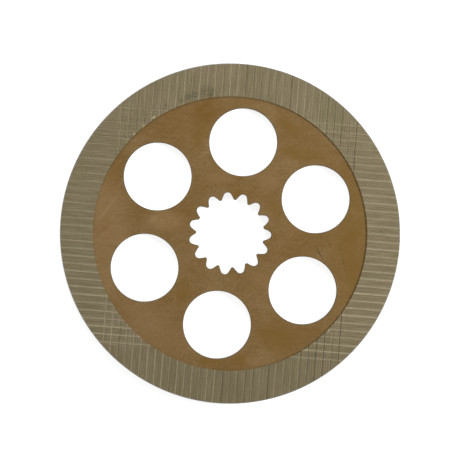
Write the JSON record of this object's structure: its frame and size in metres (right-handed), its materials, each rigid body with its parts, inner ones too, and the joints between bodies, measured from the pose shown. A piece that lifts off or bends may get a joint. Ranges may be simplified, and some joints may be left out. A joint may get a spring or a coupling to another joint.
{
  "type": "wet brake friction disc",
  "caption": "Flat steel friction disc for an oil-immersed brake, with a splined bore, large round holes and a grooved lining ring on each face.",
  "frame": {"origin": "centre of the splined bore, at half the disc's thickness", "axes": "+Z along the disc's axis, out of the upper lining; +X through the centre of a round hole that lies in line with a space of the spline"},
  "size_m": [0.223, 0.223, 0.0068],
  "materials": {
    "core_plate": "stamped steel under a thin brown film of cured adhesive",
    "friction_lining": "matt resin-bonded fibre friction material, olive beige, with narrow cut grooves"
  },
  "bodies": {
    "root": {"core_plate": "core_plate", "upper_lining": "friction_lining", "lower_lining": "friction_lining"}
  },
  "joints": []
}
